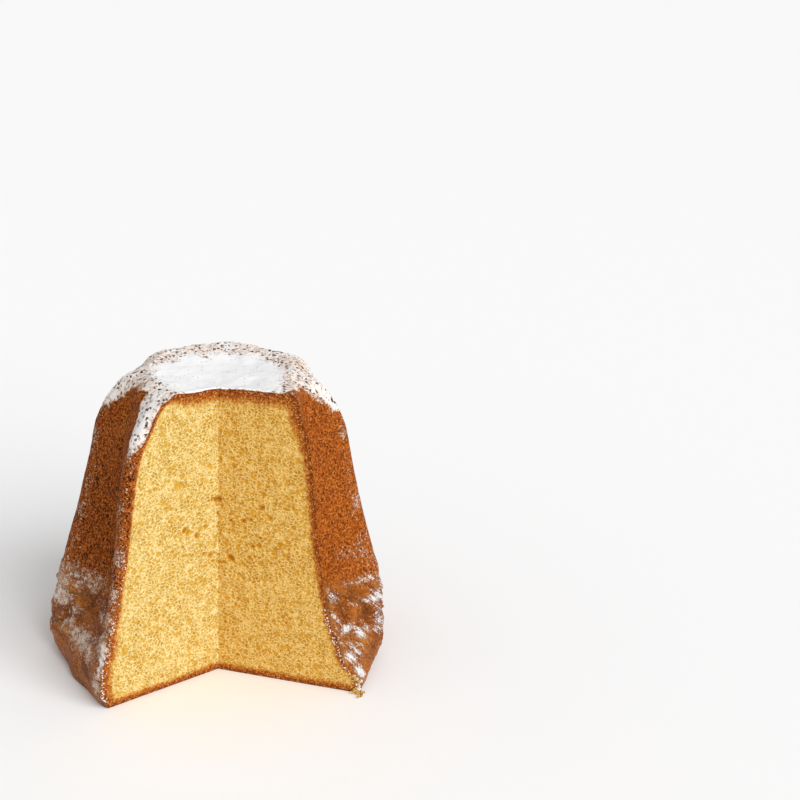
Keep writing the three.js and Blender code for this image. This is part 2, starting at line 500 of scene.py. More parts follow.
# %% Sugar on the top
SUGAR_LINE = 192 * MM  # where it ends in a groove
POINT_DROP = 20 * MM  # it hangs this much lower on a point of the star
RIDGE_DROP, RIDGE_ANGLE, RIDGE_WIDTH = 8 * MM, -43, 8  # and lower again left of the cut
BARE_LOBE, LOBE_ANGLE, LOBE_WIDTH = 13 * MM, -54, 6  # but higher in the groove beside that ridge
BARE_CORNER, CORNER_ANGLE, CORNER_WIDTH = 26 * MM, 42, 12  # and higher at the right face
BARE_FROM = 56 * MM  # both only this far from the axis
MIDDLE_RADIUS = 40 * MM  # the smooth middle of the top, which lies towards the front
MIDDLE_FORWARD = 11 * MM


def round_angle(angle, middle, width):
    """1 at an angle round the axis, in degrees, and less on both sides of it."""
    return np.exp(-((np.degrees(angle) - middle) / width) ** 2)


def sugar_line(places, angle, point):
    """Height at which the sugar of the top ends."""
    line = SUGAR_LINE - POINT_DROP * point ** 1.3 - RIDGE_DROP * round_angle(angle, RIDGE_ANGLE, RIDGE_WIDTH)
    from_axis = np.hypot(places[:, 0] - TOP_LEAN, places[:, 1])
    lobe = round_angle(angle, LOBE_ANGLE, LOBE_WIDTH)
    line += BARE_LOBE * lobe * smoothstep(from_axis, BARE_FROM - 3 * MM, BARE_FROM + 2 * MM)
    corner = round_angle(angle, CORNER_ANGLE, CORNER_WIDTH)
    line += BARE_CORNER * corner * smoothstep(from_axis, BARE_FROM - 3 * MM, BARE_FROM + 5 * MM)
    return line


def sugar_above(places, line):
    """Cover of the top and the shoulders, whose lower edge is ragged."""
    ragged = 4 * MM * soft(places, 8 * MM, 11) + 2.5 * MM * soft(places, 3 * MM, 12)
    above = smoothstep(places[:, 2] + ragged, line - 3 * MM, line + 5 * MM)
    far = np.hypot(places[:, 0] - TOP_LEAN, places[:, 1] + MIDDLE_FORWARD)
    far += 5 * MM * soft(places, 14 * MM, 14)
    middle = 1 - smoothstep(far, MIDDLE_RADIUS - 6 * MM, MIDDLE_RADIUS + 6 * MM)
    return np.maximum(above * (0.74 + 0.26 * middle), middle)


# %% Sugar below the top
def sugar_below(places, normals, patches):
    """Cover of the bulge: streaks along the folds at the right, and round clumps at the left."""
    streaks = smoothstep(soft(slanted(places, 9 * MM, 2.2 * MM), 1, 15), -0.3, 0.3)
    clumps = smoothstep(soft(places, 4 * MM, 16), -0.45, 0.05)
    streaky = smoothstep(places[:, 0], -40 * MM, 40 * MM)
    uneven = streaky * (0.40 + 0.60 * streaks) + (1 - streaky) * (0.58 + 0.42 * clumps)
    facing_up = smoothstep(normals[:, 2], 0.05, 0.5)
    below = 0.62 * facing_up * patches * risen(places) * smoothstep(places[:, 2], 12 * MM, 26 * MM)
    below = np.maximum(below, drifts(places) * (0.8 + 0.2 * facing_up)) * uneven
    return below * (1 - 0.45 * creases(places))


def sugar_cover(places, normals):
    """How much of each place is covered by sugar, from 0 to 1."""
    angle = star_angle(places)
    point = 1 - towards_groove(place_in_star(angle)[3])
    above = sugar_above(places, sugar_line(places, angle, point))
    patches = smoothstep(soft(places, 15 * MM, 13), -0.25, 0.45)
    edges = 0.42 * smoothstep(point, 0.70, 0.98) * (0.4 + 0.6 * patches)
    below = sugar_below(places, normals, patches)
    from_cut = distance_from_cut(places) + 1.1 * MM * soft(places, 3 * MM, 18)
    left_by_knife = 0.35 + 0.65 * smoothstep(from_cut, -0.6 * MM, 0.7 * MM)
    return 1 - (1 - above * left_by_knife) * (1 - edges) * (1 - below)


# %% [markdown]
# ## Tools that turn points into a mesh
# A flat grid from `create_grid` is wrapped on to the rows of places, like cloth laid on a form.
# `normals_of` gives the outward direction at each place of such a grid. `write_layer` stores a
# number at each vertex, for a material to read. `finish` ends a piece: it turns all faces outwards,
# makes the object and prints what it measured. An open edge would be a hole in the piece.

# %% Mesh helpers
NO_LENGTH = 1e-12
WELD = 1e-6  # vertices nearer than this are one, in metres


def normals_of(points):
    """Outward unit normals of a grid of places."""
    across = np.gradient(points, axis=1)
    upwards = np.gradient(points, axis=0)
    normals = np.cross(upwards, across)
    length = np.linalg.norm(normals, axis=2, keepdims=True)
    return normals / np.maximum(length, NO_LENGTH)


def new_bmesh(*layers):
    """An empty bmesh whose vertices can store these numbers."""
    bm = bmesh.new()
    for name in layers:
        bm.verts.layers.float.new(name)
    return bm


def wrap(bm, points):
    """Lays a new flat grid on to rows of places and returns its vertices, row by row."""
    rows, columns = points.shape[:2]
    grid = bmesh.ops.create_grid(bm, x_segments=columns - 1, y_segments=rows - 1, size=0.5)
    for vert, place in zip(grid["verts"], points.reshape(-1, 3).tolist()):
        vert.co = place
    return grid["verts"]


def write_layer(bm, name, verts, values):
    """Stores one number for each vertex under a name that a material can read."""
    layer = bm.verts.layers.float[name]
    for vert, value in zip(verts, np.ravel(values).tolist()):
        vert[layer] = value


def finish(bm, name, materials):
    """Makes the object, with smooth faces that look outwards."""
    bmesh.ops.recalc_face_normals(bm, faces=bm.faces)
    for face in bm.faces:
        face.smooth = True
    open_edges = sum(not edge.is_manifold for edge in bm.edges)
    mesh = bpy.data.meshes.new(name)
    bm.to_mesh(mesh)
    bm.free()
    for material in materials:
        mesh.materials.append(material)
    piece = bpy.data.objects.new(name, mesh)
    bpy.context.collection.objects.link(piece)
    triangles = sum(len(polygon.vertices) - 2 for polygon in mesh.polygons)
    print(f"{name}: {triangles} triangles, {open_edges} open edges")
    return piece


# %% [markdown]
# ## Colours
# A photograph gives colours as 8-bit numbers, while a shader wants linear light. `colour` turns
# one into the other, so that a brown can be written down as it is seen on the screen.

# %% Colours
def colour(red, green, blue):
    """A shader colour from 8-bit screen values."""
    def linear(value):
        share = value / 255
        return share / 12.92 if share <= 0.04045 else ((share + 0.055) / 1.055) ** 2.4
    return (linear(red), linear(green), linear(blue), 1.0)


# %% [markdown]
# ## Node helpers
# In the shader editor a material is made by placing nodes and drawing links between them. A script
# does the same. `add` makes a node, sets it and fills its inputs, either with a value or with
# another node's output, and the helpers after it each stand for one kind of node.

# %% Node helpers
def fill(tree, socket, value):
    """Gives a node's input a fixed value, or links it to another node's output."""
    if isinstance(value, bpy.types.NodeSocket):
        tree.links.new(value, socket)
    else:
        socket.default_value = value


def add(tree, kind, inputs=(), **settings):
    """A new node with its settings made and its inputs filled."""
    made = tree.nodes.new(kind)
    for name, value in settings.items():
        setattr(made, name, value)
    for name, value in dict(inputs).items():
        fill(tree, made.inputs[name], value)
    return made


def arithmetic(operation):
    """A helper that adds one step of arithmetic to a tree."""
    def work_out(tree, first, second):
        return add(tree, "ShaderNodeMath", {0: first, 1: second}, operation=operation).outputs[0]
    return work_out


plus, minus, times = arithmetic("ADD"), arithmetic("SUBTRACT"), arithmetic("MULTIPLY")
divided, larger = arithmetic("DIVIDE"), arithmetic("MAXIMUM")


def step(tree, value, low, high, start=0.0, end=1.0):
    """A soft step: start below low, end above high."""
    inputs = {"Value": value, "From Min": low, "From Max": high, "To Min": start, "To Max": end}
    return add(tree, "ShaderNodeMapRange", inputs, interpolation_type="SMOOTHSTEP").outputs[0]


def blend(tree, share, first, second, kind="MIX"):
    """Mixes two colours by a share from 0 to 1."""
    inputs = {0: share, 6: first, 7: second}
    return add(tree, "ShaderNodeMix", inputs, data_type="RGBA", blend_type=kind).outputs[2]


def ramp(tree, value, stops):
    """Runs through a list of (place, colour) stops."""
    node = add(tree, "ShaderNodeValToRGB", {"Fac": value})
    elements = node.color_ramp.elements
    while len(elements) < len(stops):
        elements.new(0.5)
    for element, (place, tint) in zip(elements, stops):
        element.position = place
        element.color = tint
    return node.outputs["Color"]


def stored(tree, name):
    """A number that the mesh stores at its vertices."""
    return add(tree, "ShaderNodeAttribute", attribute_name=name).outputs["Fac"]


# %% [markdown]
# ## Patterns
# Crust, crumb and sugar are mixtures of a few simple patterns: soft clouds, cells and round spots.
# All of them read Object coordinates, so a size in metres is a size on the real cake, and a pattern
# runs on from one piece to the next. Sizes in the materials are in metres.

# %% Patterns
def where(tree, stretch=(1, 1, 1), turned=(0, 0, 0)):
    """Object coordinates, turned and then stretched."""
    place = add(tree, "ShaderNodeTexCoord").outputs["Object"]
    scale = tuple(1 / share for share in stretch)
    return add(tree, "ShaderNodeMapping", {"Vector": place, "Rotation": turned, "Scale": scale}).outputs[0]


def to_the_right(tree):
    """How far each place lies to the right of the cake's axis."""
    return add(tree, "ShaderNodeSeparateXYZ", {0: where(tree)}).outputs["X"]


def cloudy(tree, size, detail=2.0, roughness=0.5, place=None):
    """Noise from 0 to 1, whose blobs are about this size."""
    inputs = {"Vector": place or where(tree), "Scale": 1 / size, "Detail": detail, "Roughness": roughness}
    return add(tree, "ShaderNodeTexNoise", inputs).outputs["Fac"]


def cells(tree, size, feature="F1", place=None):
    """Distance from the middle of a random cell of about this size, in cell sizes."""
    inputs = {"Vector": place or where(tree), "Scale": 1 / size}
    return add(tree, "ShaderNodeTexVoronoi", inputs, feature=feature).outputs["Distance"]


def pushed(tree, place, size, amount):
    """The same coordinates, pushed about by noise."""
    push = add(tree, "ShaderNodeTexNoise", {"Vector": place, "Scale": 1 / size, "Detail": 1.0})
    inputs = {0: push.outputs["Color"], 1: (amount, amount, amount)}
    push = add(tree, "ShaderNodeVectorMath", inputs, operation="MULTIPLY").outputs[0]
    return add(tree, "ShaderNodeVectorMath", {0: place, 1: push}, operation="ADD").outputs[0]


def spots(tree, size, share, reach, place=None):
    """Round spots of uneven size, 1 inside. A share of the cells has one, up to reach cells wide."""
    inputs = {"Vector": place or where(tree), "Scale": 1 / size}
    cell = add(tree, "ShaderNodeTexVoronoi", inputs)
    chance = add(tree, "ShaderNodeSeparateColor", {0: cell.outputs["Color"]}).outputs[0]
    radius = step(tree, chance, 1 - share, 1.0, 0.0, reach)
    return step(tree, minus(tree, radius, cell.outputs["Distance"]), 0.0, 0.14)


def along_folds(tree, length, width):
    """Coordinates on the rolled-out side of the cake, in steps along the folds and across them."""
    inputs = {"X": divided(tree, stored(tree, "along"), length),
              "Y": divided(tree, stored(tree, "across"), width)}
    return add(tree, "ShaderNodeCombineXYZ", inputs).outputs[0]


# %% Start and end of a material
def new_material(name, roughness, shine=0.5):
    """An empty material: its tree and its shader."""
    material = bpy.data.materials.new(name)
    material.use_nodes = True
    tree = material.node_tree
    shader = tree.nodes["Principled BSDF"]
    shader.inputs["Roughness"].default_value = roughness
    shader.inputs["Specular IOR Level"].default_value = shine
    return material, tree, shader


def add_bump(tree, shader, height, distance, strength):
    """Lets light fall on the surface as if it had this fine relief."""
    bump = add(tree, "ShaderNodeBump", {"Height": height, "Distance": distance, "Strength": strength})
    fill(tree, shader.inputs["Normal"], bump.outputs[0])
    print("material with", len(tree.nodes), "nodes")


# %% [markdown]
# ## Crust colour
# Crust that the tin pressed is an even warm brown with many tiny dark pores, where bubbles met
# the metal. Crust that rose free is smoother and more golden. Its creases are painted darker,
# which is painted shade. The right side, which faces the lamp, is painted a lighter brown with
# weaker dark specks and pores, which is painted light. Painting a picture on the cake would be another
# way, but patterns made by nodes stay sharp from near by and have no seam.

# %% Crust colour
GRIT_SIZE = 0.0013


def crust_grit(tree):
    """Noise as fine as the grain of the crust."""
    return cloudy(tree, GRIT_SIZE, 3.0, 0.75)


def crust_pores(tree, bulge):
    """1 in the tiny pores, which are round holes and slanting slits. The bulge has fewer."""
    holes = step(tree, cells(tree, 0.0017), 0.20, 0.38, 1.0, 0.0)
    slanting = where(tree, (1, 1, 2.2), (0, math.radians(25), 0))
    slits = step(tree, cells(tree, 0.0020, place=slanting), 0.20, 0.42, 1.0, 0.0)
    slits = times(tree, slits, step(tree, cloudy(tree, 0.007), 0.42, 0.58))
    pore = larger(tree, times(tree, holes, 0.85), slits)
    return times(tree, pore, step(tree, bulge, 0.0, 1.0, 1.0, 0.35))


def crust_colour(tree):
    """Brown of the baked crust, with painted shade in its creases and painted light on its right side, and
    how deep the pores are.
    """
    bulge, side, grit = stored(tree, "bulge"), to_the_right(tree), crust_grit(tree)
    brown = ramp(tree, cloudy(tree, 0.030, 3.0, 0.6), [(0.30, colour(146, 68, 15)),
                                                       (0.52, colour(163, 79, 19)),
                                                       (0.72, colour(172, 89, 26))])
    golden = ramp(tree, cloudy(tree, 0.014, 3.0, 0.6), [(0.32, colour(130, 62, 12)),
                                                        (0.50, colour(170, 92, 22)),
                                                        (0.70, colour(196, 122, 40))])
    # painted light: the right side, which faces the lamp, is mixed towards a lighter brown
    painted_light_right = step(tree, side, -0.05, 0.08, 0.0, 0.45)
    base = blend(tree, bulge, blend(tree, painted_light_right, brown, colour(190, 100, 32)), golden)
    # painted light: on the right side the dark specks and pores are weaker
    contrast = times(tree, step(tree, bulge, 0.0, 1.0, 1.0, 0.60), step(tree, side, -0.05, 0.06, 1.0, 0.68))
    dark = times(tree, step(tree, grit, 0.475, 0.41, 0.0, 0.90), contrast)
    base = blend(tree, dark, base, colour(62, 24, 2))
    base = blend(tree, step(tree, grit, 0.54, 0.60, 0.0, 0.72), base, colour(208, 136, 66))
    # painted shade: the creases of the bulge are darkened
    base = blend(tree, times(tree, stored(tree, "crease"), 0.60), base, colour(84, 36, 8))
    pore = crust_pores(tree, bulge)
    return blend(tree, times(tree, times(tree, pore, 0.9), contrast), base, colour(42, 16, 1)), pore


# %% [markdown]
# ## Sugar over a colour
# A dusting is thousands of white grains with crust between them. Here it is a mask over the colour
# below: where the stored cover is high, nearly every grain is white, and where it is low only some
# are. At the right of the bulge the grains form streaks along the folds. A thin veil between the
# grains greys the brown, and on the shoulders the sugar has pits, as each grain melts a little.

# %% Sugar over a colour
SUGAR_WHITE = colour(243, 243, 243)
SUGAR_GRAIN = colour(230, 206, 186)  # a lone grain takes on some brown
SUGAR_VEIL = colour(206, 182, 162)
PIT_BROWN = colour(62, 30, 14)


def sugar_grains(tree, cover, streaky):
    """1 where a white grain lies, mostly where the cover is high."""
    grain = step(tree, cloudy(tree, 0.0010, 2.0, 0.85), 0.32, 0.68)
    speck = step(tree, cloudy(tree, 0.0024, 2.0, 0.6), 0.32, 0.68)
    streak = step(tree, cloudy(tree, 1.0, 2.0, 0.6, along_folds(tree, 0.0060, 0.0011)), 0.32, 0.68)
    broad = plus(tree, times(tree, streak, streaky), times(tree, speck, minus(tree, 1.0, streaky)))
    mixed = plus(tree, times(tree, grain, 0.6), times(tree, broad, 0.4))
    return step(tree, minus(tree, cover, mixed), -0.03, 0.04)


def sugar_pits(tree, cover, bulge):
    """1 in the pits: many where the sugar is thin, a few faint ones where it is thick."""
    place = pushed(tree, where(tree), 0.0020, 0.0020)
    thin = step(tree, cover, 0.80, 0.97, 1.0, 0.0)
    many = times(tree, spots(tree, 0.0024, 0.90, 0.57, place), thin)
    few = times(tree, spots(tree, 0.0027, 0.50, 0.38, place), 0.40)
    pits = times(tree, larger(tree, many, few), step(tree, cover, 0.50, 0.70))
    pits = times(tree, pits, step(tree, cloudy(tree, 0.0040), 0.36, 0.56, 0.75, 1.0))
    return times(tree, pits, minus(tree, 1.0, bulge))


def sugar_over(tree, below, cover):
    """The colour below seen through a dusting, and the mask of its white grains."""
    bulge = stored(tree, "bulge")
    streaky = times(tree, bulge, step(tree, to_the_right(tree), -0.040, 0.040))
    pits = sugar_pits(tree, cover, bulge)
    white = times(tree, sugar_grains(tree, cover, streaky), minus(tree, 1.0, pits))
    whiter = larger(tree, step(tree, cover, 0.55, 0.95), times(tree, streaky, 0.8))
    grains = blend(tree, whiter, SUGAR_GRAIN, SUGAR_WHITE)
    veil = step(tree, cover, 0.20, 0.85, 0.0, 0.50)
    hidden = blend(tree, pits, blend(tree, veil, below, SUGAR_VEIL), PIT_BROWN)
    return blend(tree, white, hidden, grains), white


# %% Crust material
def make_crust_material():
    material, tree, shader = new_material("baked_crust", 0.6)
    brown, pore = crust_colour(tree)
    tint, white = sugar_over(tree, brown, stored(tree, "sugar"))
    fill(tree, shader.inputs["Base Color"], tint)
    bulge = stored(tree, "bulge")  # the free crust of the bulge is glossier
    bare = step(tree, bulge, 0.0, 1.0, 0.62, 0.40)
    fill(tree, shader.inputs["Roughness"], larger(tree, bare, times(tree, white, 0.9)))
    fill(tree, shader.inputs["Specular IOR Level"], step(tree, bulge, 0.0, 1.0, 0.05, 0.18))
    wrinkles = cloudy(tree, 1.0, 3.0, 0.65, along_folds(tree, 0.0090, 0.0026))
    height = plus(tree, times(tree, pore, -0.8), times(tree, crust_grit(tree), 1.5))
    height = plus(tree, height, times(tree, wrinkles, times(tree, bulge, 3.0)))
    height = plus(tree, height, times(tree, white, 0.4))
    add_bump(tree, shader, height, 0.0009, 0.9)
    return material


crust_material = make_crust_material()

# %% [markdown]
# ## Crumb colour
# The crumb is a sponge: a net of thin walls round small hollows. The walls are pale cream, and
# the hollows look amber, because light bounces about in them. Cells and fine noise make the net.
# The mesh has the larger pores and stores how deep each place lies in one; the deepest are painted darker,
# as painted shade. Towards the crust the heat of the oven browned the crumb: a stored number
# fades from 1 at the crust to 0 inside. The right face of the cut is painted a deeper, darker
# yellow than the left one, which is painted shade: that face turns from the lamp.

# %% Net of the crumb
def crumb_net(tree, place):
    """From 0 on the walls of the sponge to about 1 in its small hollows."""
    net = times(tree, step(tree, cells(tree, 0.0021, "DISTANCE_TO_EDGE", place), 0.04, 0.28), 0.42)
    fine = times(tree, step(tree, cloudy(tree, 0.0011, 2.0, 0.8), 0.34, 0.66), 0.42)
    open_places = step(tree, cloudy(tree, 0.007, 3.0, 0.6), 0.30, 0.70, 0.75, 1.25)
    return times(tree, plus(tree, net, fine), open_places)


def baked_crumb(tree, browned, grit):
    """The grainy brown of the crumb beside the crust."""
    baked = ramp(tree, browned, [(0.12, colour(226, 164, 66)), (0.40, colour(204, 122, 36)),
                                 (0.70, colour(166, 82, 20)), (1.0, colour(130, 58, 9))])
    baked = blend(tree, step(tree, grit, 0.53, 0.63, 0.0, 0.8), baked, colour(240, 174, 100))
    return blend(tree, step(tree, grit, 0.47, 0.38, 0.0, 0.85), baked, colour(108, 42, 6))


# %% Crumb material
def make_crumb_material():
    material, tree, shader = new_material("yellow_crumb", 0.85, 0.1)
    place = pushed(tree, where(tree, (1.25, 1.25, 1)), 0.0020, 0.0016)
    hollow = crumb_net(tree, place)
    crumb = ramp(tree, hollow, [(0.10, colour(252, 231, 171)), (0.32, colour(236, 203, 119)),
                                (0.58, colour(218, 170, 66)), (0.95, colour(198, 138, 36))])
    pore = stored(tree, "pore")
    # painted light and shade: hollows and pores are coloured amber, for the light that bounces in them
    amber = times(tree, spots(tree, 0.0032, 0.70, 0.54, place), 0.70)
    amber = larger(tree, amber, step(tree, pore, 0.05, 0.5, 0.0, 0.9))
    crumb = blend(tree, amber, crumb, colour(224, 168, 44))
    # painted shade: the deepest pores are darkened
    crumb = blend(tree, step(tree, pore, 0.7, 1.5, 0.0, 0.8), crumb, colour(176, 106, 34))
    # painted shade: the right face of the cut is tinted a deeper, darker yellow
    painted_shade_tint = blend(tree, 1.0, crumb, colour(255, 238, 208), "MULTIPLY")
    crumb = blend(tree, stored(tree, "right_face_shade"), crumb, painted_shade_tint)
    uneven = step(tree, cloudy(tree, 0.0030, 3.0, 0.7), 0.30, 0.70, -0.13, 0.13)
    browned = plus(tree, stored(tree, "browning"), uneven)
    grit = cloudy(tree, 0.0012, 3.0, 0.75)
    tint = blend(tree, step(tree, browned, 0.02, 0.50), crumb, baked_crumb(tree, browned, grit))
    fill(tree, shader.inputs["Base Color"], tint)
    depth = times(tree, plus(tree, hollow, times(tree, amber, 0.5)), 0.70)
    add_bump(tree, shader, minus(tree, grit, depth), 0.0012, 0.9)
    return material


crumb_material = make_crumb_material()


# %% [markdown]
# ## Sugar of the coat
# The coat of sugar is a piece of its own, which gets thinner and thinner towards its edge. Past
# that edge the dusting of the crust goes on. Both use one recipe, brown below and white grains over
# it, and read the same stored cover, so the edge of the coat doesn't show as a line.

# %% Sugar material
def make_sugar_material():
    material, tree, shader = new_material("icing_sugar", 0.9, 0.2)
    brown, _ = crust_colour(tree)
    tint, white = sugar_over(tree, brown, stored(tree, "sugar"))
    fill(tree, shader.inputs["Base Color"], tint)
    powder = cloudy(tree, 0.0010, 3.0, 0.7)
    height = plus(tree, times(tree, powder, 0.3), times(tree, white, 0.8))
    add_bump(tree, shader, height, 0.0005, 0.8)
    return material


sugar_material = make_sugar_material()

# %% [markdown]
# ## The crust
# The crust is a skin about 2 mm thick, with a fine outer side that shows and a plain inner side
# that doesn't. Both are grids on rays from the cut edge, and a band bridges them where the knife
# went through. That band is the brown line round the cut, so it gets the crumb's material. How far
# the browning reaches into the crumb differs between the two faces, so two tables hold it.

# %% Browning
CRUST = 2 * MM
BASE_BROWNING = 7 * MM
SIDE_BROWNING = MM * np.array([  # height, reach in the left face, reach in the right face
    (0, 12, 10), (30, 11, 7), (55, 9, 4.5), (80, 3.6, 5.5), (110, 2.8, 7),
    (150, 2.8, 8.5), (175, 3, 11), (CAKE_MM, 3.5, 13),
])
TOP_BROWNING = MM * np.array([  # distance from the cut edge, reach in the left face, in the right face
    (0, 12, 12), (15, 12, 12), (30, 9, 13), (45, 4.5, 14),
])


def browning(places, under_side, under_top):
    """How brown the crumb is: 1 at the crust, 0 where the heat of the oven didn't reach."""
    height = places[..., 2]
    out = np.hypot(places[..., 0] - CUT_EDGE[0], places[..., 1] - CUT_EDGE[1])
    on_left = places[..., 0] < CUT_EDGE[0]
    sides = [np.interp(height, SIDE_BROWNING[:, 0], SIDE_BROWNING[:, face]) for face in (1, 2)]
    tops = [np.interp(out, TOP_BROWNING[:, 0], TOP_BROWNING[:, face]) for face in (1, 2)]
    shares = (under_side / np.where(on_left, *sides), under_top / np.where(on_left, *tops),
              height / BASE_BROWNING)
    return 1 - np.clip(np.minimum.reduce(shares), 0, 1)


# %% A skin with relief
def on_cut_plane(points):
    """Puts the first and the last column back in the faces of the cut."""
    for column, turn in ((0, 0.0), (-1, SWEEP)):
        ray = ray_directions(np.array(turn))
        away = (points[:, column, :2] - CUT_EDGE) @ ray
        points[:, column, :2] = CUT_EDGE + away[:, None] * ray
    return points


def skin_normals(points):
    """Outward normals of a skin, whose first and last row each lie in one point."""
    normals = normals_of(points)
    normals[0], normals[-1] = (0, 0, -1), (0, 0, 1)
    return normals


def dressed_skin(turns, base_rows, alongs, top_rows):
    """The outer side of the crust with its relief, and its normals."""
    points = skin_points(turns, base_rows, alongs, top_rows)
    relief = crust_relief(points.reshape(-1, 3)).reshape(points.shape[:2])
    relief[-1] = relief[-1].mean()
    points = on_cut_plane(points + skin_normals(points) * relief[..., None])
    return points, skin_normals(points)


SAME_TURN = 1e-6  # two turns nearer than this are one


def hidden_inset(turns, at_cut, inside):
    """How deep a hidden wall lies: at_cut at its two ends, and inside everywhere else."""
    from_ends = np.minimum(turns - turns[0], turns[-1] - turns)
    return np.where(from_ends < SAME_TURN, at_cut, inside)


# %% Make the crust
BASE_ROWS, TOP_ROWS = 8, 22
CRUST_COLUMNS = 1.22 * MM  # how far apart the columns of its grid lie
BULGE_ROWS, FLANK_ROWS = 0.9 * MM, 1.5 * MM  # and the rows
HIDDEN_COLUMNS, HIDDEN_DEPTH = 10 * MM, 9 * MM


def make_crust():
    bm = new_bmesh("sugar", "bulge", "browning", "crease", "along", "across")
    alongs = even_alongs(BULGE_ROWS, FLANK_ROWS)
    outer, normals = dressed_skin(even_turns(CRUST_COLUMNS), BASE_ROWS, alongs, TOP_ROWS)
    outer_verts = wrap(bm, outer)
    places = outer.reshape(-1, 3)
    write_layer(bm, "sugar", outer_verts, sugar_cover(places, normals.reshape(-1, 3)))
    write_layer(bm, "bulge", outer_verts, risen(places))
    # the crease layer carries painted shade for the crust's colour
    write_layer(bm, "crease", outer_verts, creases(places))
    for name, values in zip(("along", "across"), along_and_across(places)):
        write_layer(bm, name, outer_verts, values)
    write_layer(bm, "browning", outer_verts, np.ones(len(places)))
    few_turns = even_turns(HIDDEN_COLUMNS)
    inset = hidden_inset(few_turns, CRUST, HIDDEN_DEPTH)
    inner = skin_points(few_turns, BASE_ROWS, alongs, TOP_ROWS, inset)
    inner_verts = wrap(bm, inner)
    places = inner.reshape(-1, 3)
    under_top = HEIGHT - dip_at(places) - places[:, 2]
    write_layer(bm, "browning", inner_verts, browning(places, CRUST, under_top))
    bmesh.ops.remove_doubles(bm, verts=bm.verts, dist=WELD)
    rim = [edge for edge in bm.edges if edge.is_boundary]
    band = bmesh.ops.bridge_loops(bm, edges=rim)["faces"]
    for edge in rim:
        edge.smooth = False
    for face in band:
        face.material_index = 1
    print("crust band:", len(band), "faces between", len(rim), "edges")
    return finish(bm, "crust", [crust_material, crumb_material])


crust = make_crust()

# %% [markdown]
# ## The crumb
# The crumb fills the crust. Its two cut faces are one fine grid, folded at the cut edge. Real
# pores are pushed into it: many small ones, and some wide ones near the fold at half height. A
# bump in the material alone would look flat there, because a pore has a shadow of its own. A plain
# wall closes the piece behind, where nothing shows.

# %% Pores
PORE_DEPTH = 1.0 * MM
FOLD_REACH = 32 * MM  # the wide pores get fewer over this distance from the fold
PORES_HEIGHT, PORES_SPREAD = 108 * MM, 34 * MM


def pores(places, size, seed, width, spread):
    """1 in the middle of a pore and 0 on the walls. Each pore has a width of its own."""
    depth = []
    for place in (places / size + PORE_SEED * seed).tolist():
        distances, centres = noise.voronoi(place)
        reach = width + spread * noise.cell(centres[0] * 57.3)
        depth.append(min(1.6 * (1 - distances[0] / reach), 1.0) if distances[0] < reach else 0.0)
    return np.array(depth)


def pore_depths(places):
    """0 on the walls of the crumb, about 1 in its pores, and more where pores run together."""
    loose = warped(places, 3 * MM, 1.2 * MM, 21) * np.array((1, 1, 1.3))
    from_fold = np.hypot(*(places[:, :2] - CUT_EDGE).T)
    near_fold = np.exp(-from_fold / FOLD_REACH)
    half_height = np.exp(-((places[:, 2] - PORES_HEIGHT) / PORES_SPREAD) ** 2)
    small = pores(loose, 3.2 * MM, 1, 0.16, 0.40)
    wide = pores(loose, 6.5 * MM, 2, 0.02, 0.26) * (0.3 + 0.7 * near_fold)
    many = pores(loose, 5.5 * MM, 3, 0.08, 0.50) * np.clip(2.4 * near_fold * half_height, 0, 1)
    slits = smoothstep(soft(places / np.array((1, 1, 2)), 2 * MM, 24), 0.25, 0.5)
    slits = slits * np.exp(-from_fold / (1.6 * MM)) * half_height
    return np.clip(0.35 * small + 1.3 * wide + 1.4 * many + 1.3 * slits, 0, 1.6)


# %% Faces of the cut
OVERLAP = CRUST - 0.5 * MM  # the crumb starts this deep, a little inside the crust
LEFT_COLUMNS, RIGHT_COLUMNS = 122, 139
FACE_ROWS = 0.66 * MM  # how far apart the rows of its grid lie


def cut_face(alongs, turn, shares):
    """Rows of one cut face from the cut edge out to the crust, and how brown each place is."""
    outer = np.array([ring(along, np.array([turn]), OVERLAP)[0] for along in alongs])
    dip = dip_at(np.array([[*CUT_EDGE, HEIGHT]]))[0]
    fold_height = OVERLAP + curve_through(OUTLINE[:, 0], alongs) * (HEIGHT - 2 * OVERLAP - dip) / HEIGHT
    fold = np.column_stack((np.tile(CUT_EDGE, (len(alongs), 1)), fold_height))
    points = fold[:, None] + (outer - fold)[:, None] * shares[:, None]
    length = np.linalg.norm((outer - fold)[:, :2], axis=1)
    under_side = OVERLAP + length[:, None] * (1 - shares)
    top = points[-1, :, 2] + OVERLAP
    return points, browning(points, under_side, top - points[..., 2])


# %% Make the crumb
WALL_COLUMNS, WALL_ROWS, WALL_TOP_ROWS = 6 * MM, 7 * MM, 10
WALL_TURN = math.radians(5)  # the hidden wall starts this far behind the cut faces
WALL_BACK = 8 * MM  # and this far behind the cut edge


def hidden_wall():
    """Places of the plain wall that closes the crumb behind."""
    turns = np.clip(even_turns(WALL_COLUMNS), WALL_TURN, SWEEP - WALL_TURN)
    inset = hidden_inset(turns, 5 * MM, 15 * MM)
    wall = skin_points(turns, 6, even_alongs(WALL_COLUMNS, WALL_ROWS), WALL_TOP_ROWS, inset)
    from_edge = np.linalg.norm(wall[..., :2] - CUT_EDGE, axis=2)
    wall[..., 1] += WALL_BACK * np.exp(-from_edge / (20 * MM))
    return wall


